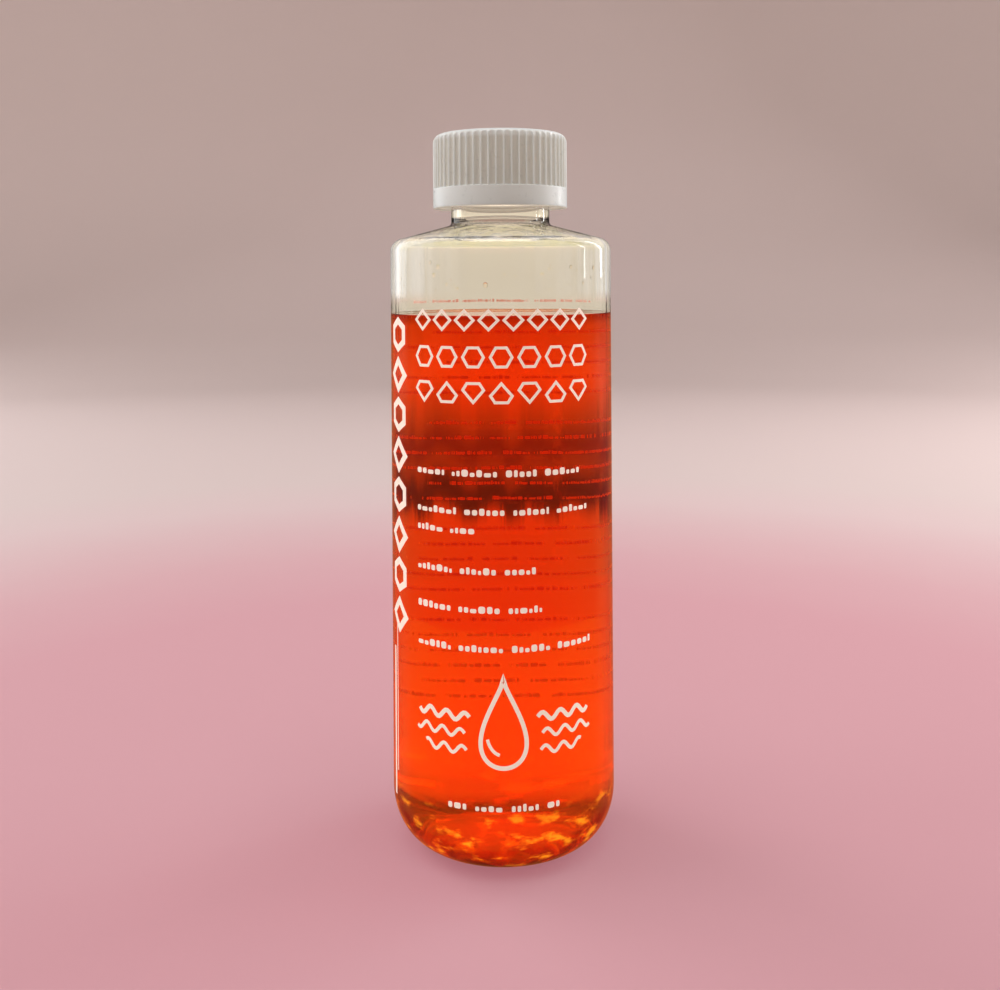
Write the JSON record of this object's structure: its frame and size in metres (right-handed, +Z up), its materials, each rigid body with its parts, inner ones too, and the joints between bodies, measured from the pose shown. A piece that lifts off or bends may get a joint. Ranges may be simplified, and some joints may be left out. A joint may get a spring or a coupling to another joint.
{
  "type": "coolant bottle",
  "caption": "Clear round plastic bottle of orange-red grinding coolant with a white ribbed push-and-turn screw closure.",
  "frame": {"origin": "centre of the circle the bottle stands on, in the plane of its standing ring", "axes": "+Z up along the bottle's axis; the printed front faces -Y"},
  "size_m": [0.052, 0.052, 0.1644],
  "materials": {
    "clear_plastic": "clear, glossy",
    "coolant": "clear orange-red liquid",
    "liner_foam": "soft matte foam",
    "cap_inner_plastic": "satin",
    "cap_outer_plastic": "semi-gloss moulded polypropylene",
    "print_ink": "thin screen-printed ink"
  },
  "bodies": {
    "bottle": {"bottle": "clear_plastic", "coolant": "coolant"},
    "liner": {"liner": "liner_foam"},
    "inner_cap": {"inner_cap": "cap_inner_plastic"},
    "spring_fingers": {"spring_fingers": "cap_outer_plastic"},
    "outer_cap": {"outer_cap": "cap_outer_plastic"}
  },
  "joints": [
    {"name": "cap_lift", "type": "slide", "parent": "bottle", "child": "liner", "axis": [0, 0, 1], "range_m": [0, 0.0159]},
    {"name": "cap_turn", "type": "hinge", "parent": "liner", "child": "inner_cap", "pos_m": [0, 0, 0.155], "axis": [0, 0, 1], "range_deg": [0, 1800]},
    {"name": "shell_freewheel", "type": "hinge", "parent": "inner_cap", "child": "spring_fingers", "pos_m": [0, 0, 0.16], "axis": [0, 0, 1], "continuous": true},
    {"name": "shell_press", "type": "slide", "parent": "spring_fingers", "child": "outer_cap", "axis": [0, 0, -1], "range_m": [0, 0.0012], "stiffness_N_per_m": 500, "springref_m": -0.0002, "deforming": ["spring_fingers"]}
  ],
  "couplings": [
    {"joint": "cap_lift", "follows": "cap_turn", "m_per_rad": 0.00050532}
  ]
}
